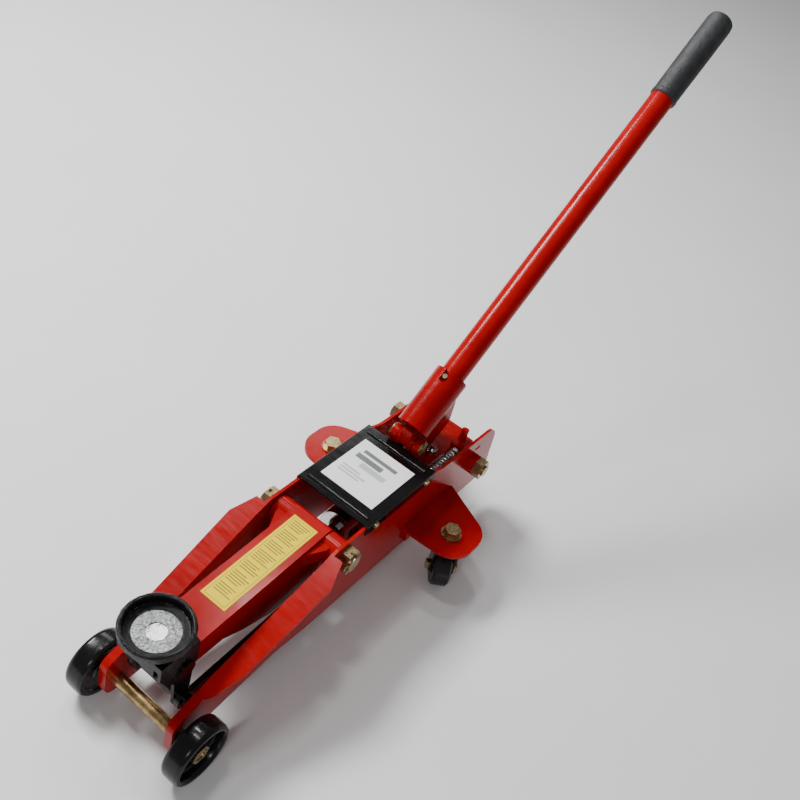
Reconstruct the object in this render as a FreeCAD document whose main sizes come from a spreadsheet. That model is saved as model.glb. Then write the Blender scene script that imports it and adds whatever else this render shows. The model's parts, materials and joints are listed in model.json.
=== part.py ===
import FreeCAD, Part
import math
import os
import re
import Sketcher

# A low trolley jack: two pressed side plates, a hydraulic block and ram between them, a lift arm
# with a self-levelling saddle, and a handle in a hinged socket. X runs forward to the saddle, Y to
# the jack's left, Z up from the floor. Stations are measured from the front axle.

SIZES = (
    ("wheel_radius", 29.3, "front wheel"),
    ("wheel_inner", 46.6, "front wheel's inner face"),
    ("wheel_outer", 65.4, "front wheel's outer face"),
    ("axle_radius", 6, "front axle"),
    ("sheet_thick", 3.2, "side plate"),
    ("web_front", 34, "half gap between the plates at the nose"),
    ("web_rear", 37.6, "half gap between the plates at the rear"),
    ("plate_top", 121, "level top edge of the side plates"),
    ("plate_low", 32, "level bottom edge of the side plates"),
    ("nose_top", 58, "top edge at the nose"),
    ("nose_radius", 13.5, "nose round the front axle"),
    ("slope_back", 168, "where the sloping top edge starts, behind the axle"),
    ("plate_back", 438, "rear end of the side plates, behind the axle"),
    ("edge_drop", 7, "step down of the plates' top edge behind the cover"),
    ("corner_drop", 12, "the rear top corner's drop below the level edge"),
    ("cover_front", 207.8, "cover's front edge, behind the axle"),
    ("cover_rear", 314.5, "cover's rear edge, behind the axle"),
    ("cover_half", 42.1, "half width of the cover"),
    ("cover_top", 122.9, "top face of the cover"),
    ("cover_sheet", 1.2, "cover's sheet"),
    ("pivot_back", 181, "lift arm pivot, behind the axle"),
    ("pivot_high", 105, "height of the lift arm pivot"),
    ("pivot_radius", 8, "lift arm pivot shaft"),
    ("sleeve_radius", 12.5, "lift arm pivot sleeve"),
    ("tip_back", 12, "arm tip pin, behind the axle"),
    ("tip_high", 95, "height of the arm tip pin"),
    ("tip_radius", 6, "arm tip pin"),
    ("arm_half", 20, "half width of the lift arm"),
    ("arm_sheet", 3.5, "lift arm's plate"),
    ("head_half", 23.6, "half width of the saddle's bracket"),
    ("link_drop", 38, "link rod pins below the arm's pins"),
    ("link_radius", 5, "link rod pins"),
    ("link_inner", 24, "inner face of a link rod"),
    ("link_thick", 5, "thickness of a link rod"),
    ("crank_swing", 31, "crank's lean behind the vertical at rest"),
    ("crank_throw", 45, "pivot to crank pin"),
    ("ram_high", 63, "height of the ram's axis"),
    ("ram_radius", 9, "ram"),
    ("bore_radius", 12, "hydraulic cylinder's bore"),
    ("saddle_back", 1.7, "saddle's axis, behind the axle"),
    ("saddle_top", 137.7, "saddle rim's height"),
    ("saddle_radius", 30.1, "saddle rim's radius"),
    ("cup_radius", 25.8, "saddle cup's wall"),
    ("stem_radius", 8, "saddle's centre pin"),
    ("block_top", 104, "top face of the pump block"),
    ("block_half", 24, "half width of the pump block"),
    ("block_front", 330, "pump block's front face, behind the axle"),
    ("block_rear", 408, "pump block's rear face, behind the axle"),
    ("hinge_back", 322, "handle socket's pivot, behind the axle"),
    ("hinge_high", 130, "height of the handle socket's pivot"),
    ("plunger_back", 352, "pump plunger's axis, behind the axle"),
    ("roller_high", 112, "cam roller's axis"),
    ("roller_radius", 6, "cam roller"),
    ("plunger_radius", 6, "pump plunger"),
    ("handle_back", 363.5, "a point on the handle's axis, behind the axle"),
    ("handle_high", 175.1, "that point's height"),
    ("handle_tilt", 38.9, "handle's slope above level"),
    ("tube_radius", 12.65, "handle tube"),
    ("tube_wall", 2, "handle tube's wall"),
    ("socket_outer", 17.2, "handle socket"),
    ("socket_inner", 13, "handle socket's bore"),
    ("socket_low", 51, "socket's closed end, below the point"),
    ("socket_mouth", 13, "socket's mouth, above the point"),
    ("grip_start", 376, "lower end of the grip, above the point"),
    ("grip_end", 488, "upper end of the grip, above the point"),
    ("grip_radius", 14.6, "grip"),
    ("caster_back", 318, "caster kingpins, behind the axle"),
    ("caster_out", 78, "caster kingpins, from the middle"),
    ("caster_plate", 60, "top face of the caster brackets"),
    ("caster_radius", 20, "caster wheel"),
    ("caster_trail", 7, "caster axle, behind its kingpin"),
    ("left_yaw", 35, "left caster's direction"),
    ("right_yaw", 160, "right caster's direction"),
    ("bolt_back", 395.5, "rear cross bolt, behind the axle"),
    ("bolt_high", 83, "height of the rear cross bolt"),
    ("bolt_radius", 6, "rear cross bolt"),
    ("spring_out", 32, "return spring, from the middle"),
    ("spring_high", 106, "height of the return spring"),
    ("spring_radius", 5.2, "return spring"),
    ("running", 0.05, "radial clearance of a running fit"),
)
# The origin is under the middle of the bounding box, so the axle's place follows from the handle.
AXLE_RULE = ("=(handle_back + grip_end * cos(handle_tilt) + (grip_radius - 3) * sin(handle_tilt)"
             " - wheel_radius) / 2")
# Outer corners of the shapes that follow from the sizes above.
LEVEL_TOP = "plate_top"
CRANK_X = "-pivot_back - crank_throw * sin(crank_swing)"
CRANK_Z = "pivot_high - crank_throw * cos(crank_swing)"
SIDES = (("left", 1), ("right", -1))

doc = FreeCAD.newDocument("FloorJack")
sheet = doc.addObject("Spreadsheet::Sheet", "Sizes")
nodes = []
turn_to = {"Z": FreeCAD.Rotation(), "Y": FreeCAD.Rotation(FreeCAD.Vector(1, 0, 0), -90),
           "X": FreeCAD.Rotation(FreeCAD.Vector(0, 1, 0), 90)}


def fill_sheet():
    """Write the driving dimensions, then the axle's place, which follows from them."""
    for row, (alias, value, meaning) in enumerate(SIZES, start=1):
        sheet.set("A%d" % row, meaning)
        sheet.set("B%d" % row, str(value))
        sheet.setAlias("B%d" % row, alias)
    row = len(SIZES) + 1
    sheet.set("A%d" % row, "front axle, ahead of the origin")
    sheet.set("B%d" % row, AXLE_RULE)
    sheet.setAlias("B%d" % row, "axle_ahead")
    doc.recompute()


fill_sheet()
ALIASES = {entry[0] for entry in SIZES} | {"axle_ahead"}


def rule(text):
    """Turn a rule such as 'plate_top - 3' into one that reads the sheet."""
    def qualify(match):
        word = match.group(0)
        return "Sizes." + word if word in ALIASES else word
    return re.sub(r"[a-z_]+", qualify, str(text))


def bind(item, **rules):
    for name, text in rules.items():
        item.setExpression(name.replace("__", "."), rule(text))


def place(item, at, rotation=FreeCAD.Rotation()):
    """Put an item at a station given from the front axle."""
    item.Placement = FreeCAD.Placement(FreeCAD.Vector(), rotation)
    x, y, z = at
    bind(item, Placement__Base__x="axle_ahead + (%s)" % x, Placement__Base__y=y, Placement__Base__z=z)


def put(item, at, rotation=FreeCAD.Rotation()):
    """Put an item at a place in its sub-part's own frame."""
    item.Placement = FreeCAD.Placement(FreeCAD.Vector(), rotation)
    x, y, z = at
    bind(item, Placement__Base__x=x, Placement__Base__y=y, Placement__Base__z=z)


def box(name, low, high, where=place):
    item = doc.addObject("Part::Box", name)
    bind(item, Length="(%s) - (%s)" % (high[0], low[0]), Width="(%s) - (%s)" % (high[1], low[1]),
         Height="(%s) - (%s)" % (high[2], low[2]))
    where(item, low)
    return item


def rod(name, radius, length, at, axis="Z", where=place):
    item = doc.addObject("Part::Cylinder", name)
    bind(item, Radius=radius, Height=length)
    where(item, at, turn_to[axis])
    return item


def hexagon(name, across, length, at, axis="Z", where=place):
    """A hexagonal prism, sized across its flats."""
    item = doc.addObject("Part::Prism", name)
    item.Polygon = 6
    bind(item, Circumradius="(%s) / sqrt(3)" % across, Height=length)
    where(item, at, turn_to[axis])
    return item


def fuse(name, *items):
    joined = doc.addObject("Part::MultiFuse", name)
    joined.Shapes = list(items)
    return joined


def weld(name, first, *others):
    """Join solids one after another, which holds up better where round faces meet flat ones."""
    for step, other in enumerate(others):
        joined = doc.addObject("Part::Fuse", "%s%d" % (name, step))
        joined.Base = first
        joined.Tool = other
        first = joined
    return first


def cut(name, base, *tools):
    result = doc.addObject("Part::Cut", name)
    result.Base = base
    result.Tool = tools[0] if len(tools) == 1 else fuse(name + "Tools", *tools)
    result.Refine = True
    return result


def common(name, first, second):
    result = doc.addObject("Part::Common", name)
    result.Base = first
    result.Tool = second
    return result


def group(name, *items):
    """Keep separate solids as one sub-part."""
    result = doc.addObject("Part::Compound", name)
    result.Links = list(items)
    return result


def node(item, label):
    item.Label = label
    nodes.append(item)
    return item


def origin_plane(body, role):
    return next(item for item in body.Origin.OriginFeatures if item.Role == role)


def polygon(body, role, corners):
    """A closed sketch whose corners are all bound to the sheet."""
    sketch = body.newObject("Sketcher::SketchObject", body.Name + "Outline")
    sketch.AttachmentSupport = [(origin_plane(body, role), "")]
    sketch.MapMode = "FlatFace"
    count = len(corners)
    turns = [2 * math.pi * step / count for step in range(count)]
    start = [FreeCAD.Vector(math.cos(turn), math.sin(turn), 0) * 50 for turn in turns]
    for step in range(count):
        sketch.addGeometry(Part.LineSegment(start[step], start[(step + 1) % count]), False)
    for step in range(count):
        sketch.addConstraint(Sketcher.Constraint("Coincident", step, 2, (step + 1) % count, 1))
    for step, (across, up) in enumerate(corners):
        for kind, text, guess in (("DistanceX", across, start[step].x), ("DistanceY", up, start[step].y)):
            index = sketch.addConstraint(Sketcher.Constraint(kind, -1, 1, step, 1, guess))
            sketch.setExpression("Constraints[%d]" % index, rule(text))
    return sketch


def corner_edges(shape, point, along):
    """Names of the straight edges that run along one axis through a sketch corner."""
    found = []
    for number, edge in enumerate(shape.Edges, start=1):
        first = edge.Vertexes[0].Point
        last = edge.Vertexes[-1].Point
        apart = last - first
        apart[along] = 0
        offset = first - point
        offset[along] = 0
        if apart.Length < 0.01 and offset.Length < 0.01:
            found.append("Edge%d" % number)
    return found


def plate(name, corners, thickness, rounds=(), role="XZ_Plane", middle="0", where=place):
    """A flat plate padded both ways from a plane; rounds gives (radius, corner numbers)."""
    body = doc.addObject("PartDesign::Body", name)
    sketch = polygon(body, role, corners)
    pad = body.newObject("PartDesign::Pad", name + "Pad")
    pad.Profile = sketch
    pad.Midplane = True
    bind(pad, Length=thickness)
    doc.recompute()
    along = 1 if role == "XZ_Plane" else 2
    points = [vertex.Point for vertex in sketch.Shape.Vertexes]
    for step, (radius, numbers) in enumerate(rounds):
        # Each fillet reads the edges of the feature before it.
        doc.recompute()
        base = body.Tip
        fillet = body.newObject("PartDesign::Fillet", "%sRound%d" % (name, step))
        fillet.Base = (base, [edge for number in numbers
                              for edge in corner_edges(base.Shape, points[number], along)])
        bind(fillet, Radius=radius)
        doc.recompute()
    where(body, ("0", middle, "0") if role == "XZ_Plane" else ("0", "0", middle))
    return body


def turned(name, profile, at, rotation=FreeCAD.Rotation(), where=place):
    """A body of revolution about Z; profile lists (radius, height) corners."""
    body = doc.addObject("PartDesign::Body", name)
    sketch = polygon(body, "XZ_Plane", profile)
    revolution = body.newObject("PartDesign::Revolution", name + "Turn")
    revolution.Profile = sketch
    revolution.ReferenceAxis = (sketch, ["V_Axis"])
    revolution.Angle = 360
    where(body, at, rotation)
    return body


def pierce(name, item, radius, x, z, low="-70", high="70"):
    """A cross hole along Y."""
    return cut(name, item, rod(name + "Bore", radius, "(%s) - (%s)" % (high, low), (x, low, z), "Y"))


def make_side_plate(side, sign):
    """One pressed plate: a web that closes in towards the nose, with a flange folded outwards."""
    key = "Plate" + side.title()
    front = "nose_radius"
    outline = [("-plate_back + 2", "plate_low"), ("-plate_back - 8", "50"),
               ("-plate_back", "plate_top - corner_drop"), ("-cover_rear - 18", "plate_top - edge_drop"),
               ("-cover_rear + 3", LEVEL_TOP), ("-slope_back", LEVEL_TOP), (front, "nose_top - 1"),
               (front, "wheel_radius - nose_radius"), ("-32", "wheel_radius - nose_radius"),
               ("-105", "plate_low")]
    rounds = [("8", (0, 1)), ("22", (2,)), ("14", (3, 5)), ("6", (4,)), ("11", (6, 7)), ("25", (8, 9))]
    wide = plate(key + "Wide", outline, "200", rounds)
    inset = [("-plate_back - 20", "-5"), ("-plate_back - 20", LEVEL_TOP + " - sheet_thick"),
             ("-slope_back - 0.5", LEVEL_TOP + " - sheet_thick"),
             (front + " - sheet_thick", "nose_top - 1 - sheet_thick"), (front + " - sheet_thick", "-5")]
    hollow = plate(key + "Hollow", inset, "210", [("10.8", (2, 3))])

    def band(step):
        """Plan outline of the web, offset outwards by step."""
        bend = [("25", "web_front"), ("-30", "web_front"), ("-150", "web_rear"), ("-470", "web_rear")]
        inner = [(x, "%d * (%s)" % (sign, y)) for x, y in bend]
        outer = [(x, "%d * (%s + %s)" % (sign, y, step)) for x, y in reversed(bend)]
        return inner + outer

    web = common(key + "Web", wide, plate(key + "Band", band("sheet_thick"), "300", role="XY_Plane"))
    spread = [("-164", "web_rear + 1"), ("-164", "50"), ("-140", "59"), ("-50", "54"), ("-28", "48"),
              ("-18", "42"), ("25", "42"), ("25", "web_front + 1"), ("-30", "web_front + 1"),
              ("-150", "web_rear + 1")]
    fan = plate(key + "Fan", [(x, "%d * (%s)" % (sign, y)) for x, y in spread], "300", role="XY_Plane")
    rim = cut(key + "Rim", doc.copyObject(wide, True), hollow)
    flange = common(key + "Flange", rim, fan)
    blank = fuse(key + "Blank", web, flange)
    holes = [rod(key + "AxleHole", "axle_radius + 0.1", "160", ("0", "-80", "wheel_radius"), "Y"),
             rod(key + "PivotHole", "pivot_radius + 0.1", "160", ("-pivot_back", "-80", "pivot_high"), "Y"),
             rod(key + "BoltHole", "bolt_radius + 0.2", "160", ("-bolt_back", "-80", "bolt_high"), "Y"),
             box(key + "Slot", ("-bolt_back - 14", "-80", "94.5"), ("-bolt_back - 4", "80", "98.5"))]
    node(cut(key, blank, *holes), "side_plate_" + side)


def make_front_axle():
    """The axle with its two hub nuts."""
    start = ("0", "-wheel_outer + 4", "wheel_radius")
    node(rod("FrontAxle", "axle_radius", "2 * (wheel_outer - 4)", start, "Y"), "front_axle")
    nuts = []
    for side, sign in SIDES:
        y = "wheel_outer - 9.4" if sign > 0 else "-wheel_outer + 3.0"
        blank = hexagon("HubNut" + side.title(), "16", "6.4", ("0", y, "wheel_radius"), "Y")
        nuts.append(pierce("HubNutCut" + side.title(), blank, "axle_radius", "0", "wheel_radius"))
    node(group("HubNuts", *nuts), "front_hub_nuts")


def make_front_wheel(side, sign):
    """A cast wheel with a dished outer face and a raised hub."""
    bore = "axle_radius + running"
    wide = "wheel_outer - wheel_inner"
    profile = [(bore, "0"), ("wheel_radius - 3", "0"), ("wheel_radius", "2.5"),
               ("wheel_radius", wide + " - 2.5"), ("wheel_radius - 2", wide),
               ("wheel_radius - 4", wide), ("wheel_radius - 6.5", wide + " - 9"),
               ("14", wide + " - 11"), ("13", wide + " - 9.8"), (bore, wide + " - 9.8")]
    rotation = FreeCAD.Rotation(FreeCAD.Vector(1, 0, 0), -90 * sign)
    centre = ("0", "%d * wheel_inner" % sign, "wheel_radius")
    node(turned("Wheel" + side.title(), profile, centre, rotation), "front_wheel_" + side)


def make_arm_pivot():
    """The lift arm's shaft with a castle nut and a split pin at each end."""
    half = "web_rear + sheet_thick"
    node(rod("PivotShaft", "pivot_radius", "2 * (web_rear + sheet_thick + 12)",
             ("-pivot_back", "-(%s) - 12" % half, "pivot_high"), "Y"), "arm_pivot_shaft")
    nuts = []
    pins = []
    for side, sign in SIDES:
        name = "CastleNut" + side.title()
        low = half if sign > 0 else "-(%s) - 10" % half
        blank = hexagon(name, "22", "10", ("-pivot_back", low, "pivot_high"), "Y")
        crown = half + " + 6.5" if sign > 0 else "-(%s) - 10.5" % half
        slots = []
        for step in range(3):
            slot = doc.addObject("Part::Box", "%sSlot%d" % (name, step))
            bind(slot, Length="30", Width="4", Height="3")
            turn = FreeCAD.Rotation(FreeCAD.Vector(0, 1, 0), 60 * step + 30)
            slot.Placement = FreeCAD.Placement(FreeCAD.Vector(), turn)
            corner = turn.multVec(FreeCAD.Vector(-15, 0, -1.5))
            place(slot, ("-pivot_back + %.4f" % corner.x, crown, "pivot_high + %.4f" % corner.z), turn)
            slots.append(slot)
        bore_at = ("-pivot_back", "-30 + %d * 45" % sign, "pivot_high")
        bore = rod(name + "Bore", "pivot_radius", "60", bore_at, "Y")
        nuts.append(cut(name + "Cut", blank, bore, *slots))
        pin_y = "%d * (%s + 8.5)" % (sign, half)
        pin = rod("SplitPin" + side.title(), "1.2", "5", ("-pivot_back", pin_y, "pivot_high + pivot_radius"))
        pins.append(pin)
    node(group("CastleNuts", *nuts), "arm_pivot_nuts")
    node(group("SplitPins", *pins), "arm_pivot_split_pins")


def make_cover():
    """The pressed cover with two ribs and side skirts, its label and its screws."""
    under = "cover_top - cover_sheet"
    shell = cut("CoverShell", box("CoverBox", ("-cover_rear", "-cover_half", "cover_top - 11"),
                                  ("-cover_front", "cover_half", "cover_top")),
                box("CoverInside", ("-cover_rear - 1", "-cover_half + cover_sheet", "cover_top - 12"),
                    ("-cover_front + 1", "cover_half - cover_sheet", under)))
    rounded = doc.addObject("Part::Fillet", "CoverRounded")
    rounded.Base = shell
    doc.recompute()
    edges = []
    for number, edge in enumerate(shell.Shape.Edges, start=1):
        centre = edge.CenterOfMass
        if abs(centre.z - sheet.cover_top) < 0.01 and abs(abs(centre.y) - sheet.cover_half) < 0.01:
            edges.append((number, 1.1, 1.1))
    rounded.Edges = edges
    ribs = [rod("CoverRib%d" % step, "2.6", "2 * (cover_half - 7)",
                (x, "-(cover_half - 7)", "cover_top - 0.9"), "Y")
            for step, x in enumerate(("-cover_front - 8.5", "-cover_rear + 9.5"))]
    kept = common("CoverRibs", fuse("CoverRibRods", *ribs),
                  box("CoverRibLimit", ("-cover_rear", "-cover_half", under), ("-cover_front", "cover_half",
                                                                               "cover_top + 5")))
    node(fuse("Cover", rounded, kept), "cover_plate")
    node(box("CoverLabel", ("-cover_rear + 19.6", "-30.5", "cover_top"),
             ("-cover_front - 19.7", "30.5", "cover_top + 0.3")), "cover_label")
    screws = [turned("CoverScrew%s%d" % (side.title(), step),
                     [("0", "0"), ("3.4", "0"), ("3", "1.6"), ("0", "2.2")],
                     (x, "%d * cover_half" % sign, "cover_top - 6"),
                     FreeCAD.Rotation(FreeCAD.Vector(1, 0, 0), -90 * sign))
              for side, sign in SIDES for step, x in enumerate(("-cover_front - 14", "-cover_rear + 14"))]
    node(group("CoverScrews", *screws), "cover_screws")


def make_pump_block():
    """The cast block that holds the pump, the release valve and the handle socket's lugs."""
    x = "-plunger_back"
    base = box("BlockBase", ("-block_rear", "-block_half", "42"),
               ("-block_front", "block_half", "block_top"))
    step = box("BlockStep", ("-block_front - 5", "-17", "87"), ("-hinge_back + 6", "17", "block_top"))
    lug_outline = [("-hinge_back - 20", "block_top - 6"), ("-hinge_back + 6", "block_top - 6"),
                   ("-hinge_back + 6", "hinge_high - 6"), ("-hinge_back + 8", "hinge_high - 2"),
                   ("-hinge_back + 8", "hinge_high + 8"), ("-hinge_back - 8", "hinge_high + 8"),
                   ("-hinge_back - 8", "hinge_high - 6")]
    lugs = [plate("BlockLug" + side.title(), lug_outline, "7", [("7.5", (4, 5))], middle="%d * 13.5" % sign)
            for side, sign in SIDES]
    boss = rod("ValveBoss", "6", "5", (x + " + 3", "16.7", "block_top - 1"))
    ledge = box("SpringLedge", ("-bolt_back - 1", "block_half - 2", "96"),
                ("-bolt_back + 19.5", "spring_out + 4", "spring_high + 3"))
    peg = rod("SpringPeg", "3.8", "20", ("-bolt_back + 9", "spring_out - 5", "block_top - 2"))
    peg.Placement.Rotation = FreeCAD.Rotation(FreeCAD.Vector(0, 1, 0), -10)
    blank = fuse("BlockBlank", base, step, *lugs, boss, ledge, peg)
    holes = [rod("PlungerRecess", "11", "60", (x, "0", "78")),
             rod("PlungerBore", "plunger_radius + running", "50", (x, "0", "45")),
             rod("BlockBolt", "bolt_radius + 0.2", "120", ("-bolt_back", "-60", "bolt_high"), "Y"),
             rod("HingeBore", "5.02", "60", ("-hinge_back", "-30", "hinge_high"), "Y"),
             rod("ValveBore", "4 + running", "30", (x + " + 3", "16.7", "block_top - 22"))]
    node(cut("Block", blank, *holes), "pump_block")
    plug = fuse("PlugParts", hexagon("PlugHead", "10", "4", ("-bolt_back + 6", "-14", "block_top")),
                rod("PlugFlange", "6.5", "1", ("-bolt_back + 6", "-14", "block_top")))
    node(plug, "oil_filler_plug")
    pin = rod("HingePin", "5", "38", ("-hinge_back", "-19", "hinge_high"), "Y")
    clips = []
    for side, sign in SIDES:
        low = "17" if sign > 0 else "-18.2"
        ring = rod("HingeClip" + side.title(), "7.5", "1.2", ("-hinge_back", low, "hinge_high"), "Y")
        clips.append(pierce("HingeClipCut" + side.title(), ring, "5.02", "-hinge_back", "hinge_high"))
    node(group("HingePinSet", pin, *clips), "socket_hinge_pin")


def make_hydraulics():
    """The oil reservoir with the cylinder inside it, and the gland that closes both."""
    def tube(name, outer, inner, start, length):
        return cut(name, rod(name + "Out", outer, length, (start, "0", "ram_high"), "X"),
                   rod(name + "In", inner, "(%s) + 2" % length, ("(%s) - 1" % start, "0", "ram_high"), "X"))
    node(tube("Reservoir", "21", "19", "-block_front", "90"), "oil_reservoir")
    node(tube("Cylinder", "16", "bore_radius", "-block_front", "90"), "hydraulic_cylinder")
    node(tube("Gland", "21", "ram_radius + running", "-block_front + 90", "8"), "cylinder_gland")


def make_rear_bolt():
    """The cross bolt that ties the plates to the block, with spacers, painted nuts and lock nuts."""
    half = "web_rear + sheet_thick"
    bolt_end = ("-bolt_back", "-(%s) - 20" % half, "bolt_high")
    node(rod("RearBolt", "bolt_radius", "2 * (%s + 20)" % half, bolt_end, "Y"), "rear_cross_bolt")
    kinds = (("Spacer", "rear_bolt_spacers", "block_half", "web_rear", None),
             ("PaintedNut", "rear_bolt_nuts", half, half + " + 9", "19"),
             ("LockNut", "rear_lock_nuts", half + " + 9", half + " + 18", "19"))
    for key, label, low, high, across in kinds:
        made = []
        for side, sign in SIDES:
            name = key + side.title()
            length = "(%s) - (%s)" % (high, low)
            start = low if sign > 0 else "-(%s)" % high
            at = ("-bolt_back", start, "bolt_high")
            blank = hexagon(name, across, length, at, "Y") if across else rod(name, "9", length, at, "Y")
            made.append(pierce(name + "Cut", blank, "bolt_radius + 0.01", "-bolt_back", "bolt_high"))
        node(group(key + "Pair", *made), label)


def make_caster(side, sign):
    """A welded bracket with a kingpin, and a fork with its wheel that swivels under it."""
    key = "Caster" + side.title()
    at = ("-caster_back", "%d * caster_out" % sign, "0")
    turn = sheet.left_yaw if sign > 0 else sheet.right_yaw
    rotation = FreeCAD.Rotation(FreeCAD.Vector(0, 0, 1), turn)
    web = "web_rear + sheet_thick"
    outline = [("-caster_back + 31", web), ("-caster_back + 27", "caster_out + 27"),
               ("-caster_back - 27", "caster_out + 27"), ("-caster_back - 56", web)]
    outline = [(x, "%d * (%s)" % (sign, y)) for x, y in outline]
    ear = plate(key + "Ear", outline, "4", [("26.5", (1, 2))], "XY_Plane", "caster_plate - 2")
    edges = (web, web + " + 4") if sign > 0 else ("-(%s) - 4" % web, "-(%s)" % web)
    foot = box(key + "Foot", ("-caster_back - 50", edges[0], "caster_plate - 20"),
               ("-caster_back + 26", edges[1], "caster_plate - 2"))
    bracket = cut(key + "Bracket", fuse(key + "BracketBlank", ear, foot),
                  rod(key + "KingHole", "5.02", "20", (at[0], at[1], "caster_plate - 10")))
    node(bracket, "caster_bracket_" + side)
    king = [rod(key + "King", "5", "caster_plate + 8 - 46", (at[0], at[1], "46")),
            rod(key + "KingHead", "8.5", "4.5", (at[0], at[1], "45.5")),
            cut(key + "Washer", rod(key + "WasherOut", "10.5", "1.8", (at[0], at[1], "caster_plate")),
                rod(key + "WasherIn", "5.02", "6", (at[0], at[1], "caster_plate - 1"))),
            cut(key + "Nut", hexagon(key + "NutBlank", "15", "6.4", (at[0], at[1], "caster_plate + 1.8")),
                rod(key + "NutIn", "5.02", "12", (at[0], at[1], "caster_plate")))]
    bolt = fuse(key + "KingBolt", king[0], king[1])
    node(group(key + "KingSet", bolt, king[2], king[3]), "caster_kingpin_" + side)

    trail = "caster_trail"
    disc = rod(key + "ForkDisc", "14", "4", ("0", "0", "51.5"), where=put)
    bar = box(key + "ForkBar", ("0", "-12.5", "51.5"), ("14", "12.5", "55.5"), put)
    top = cut(key + "ForkTop", fuse(key + "ForkPlan", disc, bar),
              rod(key + "ForkHole", "5 + running", "20", ("0", "0", "45"), where=put))
    leg_outline = [("-4", "52"), ("14", "52"), (trail + " + 7", "13"), (trail + " - 7", "13")]
    legs = [plate("%sLeg%d" % (key, step), leg_outline, "2.5", [("6.5", (2, 3))], middle=y, where=put)
            for step, y in enumerate(("-11.25", "11.25"))]
    fork = cut(key + "ForkBored", fuse(key + "ForkBlank", top, *legs),
               rod(key + "ForkAxleHole", "3.02", "60", (trail, "-30", "caster_radius"), "Y", put))
    axle = fuse(key + "AxleBlank",
                rod(key + "AxleRod", "3", "30", (trail, "-15", "caster_radius"), "Y", put),
                hexagon(key + "AxleHead", "9", "3", (trail, "-15.5", "caster_radius"), "Y", put))
    nut = cut(key + "AxleNutCut",
              hexagon(key + "AxleNut", "10", "3.5", (trail, "12.5", "caster_radius"), "Y", put),
              rod(key + "AxleNutIn", "3.01", "20", (trail, "5", "caster_radius"), "Y", put))
    profile = [("3 + running", "0"), ("9", "0"), ("9", "1"), ("caster_radius - 2", "1"),
               ("caster_radius", "3"), ("caster_radius", "16.4"), ("caster_radius - 2", "18.4"),
               ("9", "18.4"), ("9", "19.4"), ("3 + running", "19.4")]
    wheel = turned(key + "WheelTurn", profile, (trail, "-9.7", "caster_radius"), turn_to["Y"], put)
    for item, label in ((fork, "caster_fork_"), (group(key + "AxleSet", axle, nut), "caster_axle_"),
                        (group(key + "WheelSet", wheel), "caster_wheel_")):
        place(item, at, rotation)
        node(item, label + side)


def make_lift_arm():
    """A folded channel welded to a pivot sleeve and a crank, with its label and pins."""
    front = "-tip_back + 12"
    outline = [(front, "tip_high - 12"), (front, "tip_high + 11"), ("-pivot_back - 8", "pivot_high + 14.5"),
               ("-pivot_back - 12", "pivot_high - 14"), ("-pivot_back + 14", "62"), ("-120", "60"),
               ("-82", "tip_high - 23"), ("-58", "tip_high - 11.8")]
    whole = plate("ArmWhole", outline, "2 * arm_half", [("11", (0, 1)), ("8", (2, 3)), ("12", (4, 5))])
    inside = [("30", "40"), ("30", "tip_high + 4.9 - arm_sheet"), (front, "tip_high + 11 - arm_sheet"),
              ("-pivot_back - 30", "pivot_high + 16.1 - arm_sheet"), ("-pivot_back - 30", "40")]
    hollow = plate("ArmHollow", inside, "2 * (arm_half - arm_sheet)")
    nose = box("ArmNoseGap", ("-tip_back - 17", "-arm_half + arm_sheet", "60"),
               ("30", "arm_half - arm_sheet", "130"))
    channel = cut("ArmChannel", whole, hollow, nose)
    sleeve = rod("ArmSleeve", "sleeve_radius", "2 * (web_rear - 1)", ("-pivot_back", "-web_rear + 1",
                                                                      "pivot_high"), "Y")
    crank_outline = [("-pivot_back - 11", "pivot_high"), ("-pivot_back + 11", "pivot_high"),
                     (CRANK_X + " + 11", CRANK_Z + " - 7"), (CRANK_X + " - 4", CRANK_Z + " - 12"),
                     (CRANK_X + " - 10.5", CRANK_Z + " + 4")]
    crank = plate("ArmCrank", crank_outline, "10", [("6.5", (2, 3, 4))])
    flares = [plate("ArmFlare" + side.title(),
                    [("-pivot_back + 3", "%d * (arm_half - 2)" % sign),
                     ("-pivot_back + 3", "%d * 30" % sign), ("-pivot_back + 13", "%d * 30" % sign),
                     ("-pivot_back + 38", "%d * (arm_half - 2)" % sign)], "14", role="XY_Plane",
                    middle="pivot_high + 2")
              for side, sign in SIDES]
    blank = weld("ArmBlank", channel, sleeve, crank, *flares)
    holes = [rod("ArmPivotBore", "pivot_radius + running", "120", ("-pivot_back", "-60", "pivot_high"), "Y"),
             rod("ArmTipBore", "tip_radius + 0.01", "120", ("-tip_back", "-60", "tip_high"), "Y"),
             rod("ArmCrankBore", "5.01", "60", (CRANK_X, "-30", CRANK_Z), "Y")]
    node(cut("Arm", blank, *holes), "lift_arm")
    node(rod("CrankPin", "5", "27", (CRANK_X, "-13.5", CRANK_Z), "Y"), "crank_pin")
    head = "head_half + 0.3"
    pin = fuse("TipPinBlank", rod("TipPin", "tip_radius", "2 * (%s) + 5" % head,
                                  ("-tip_back", "-(%s) - 2.5" % head, "tip_high"), "Y"),
               rod("TipHeadLeft", "8", "2.5", ("-tip_back", head, "tip_high"), "Y"),
               rod("TipHeadRight", "8", "2.5", ("-tip_back", "-(%s) - 2.5" % head, "tip_high"), "Y"))
    node(pin, "arm_tip_pin")
    label = doc.addObject("Part::Box", "ArmLabel")
    slope = "atan((pivot_high + 14.5 - tip_high - 11) / (pivot_back + 8 - tip_back + 12))"
    bind(label, Length="113", Width="27", Height="0.3")
    place(label, ("-174", "-13.5", "pivot_high + 13.55"))
    bind(label, Placement__Rotation__Angle=slope)
    label.Placement.Rotation.Axis = FreeCAD.Vector(0, 1, 0)
    node(label, "arm_label")


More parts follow.
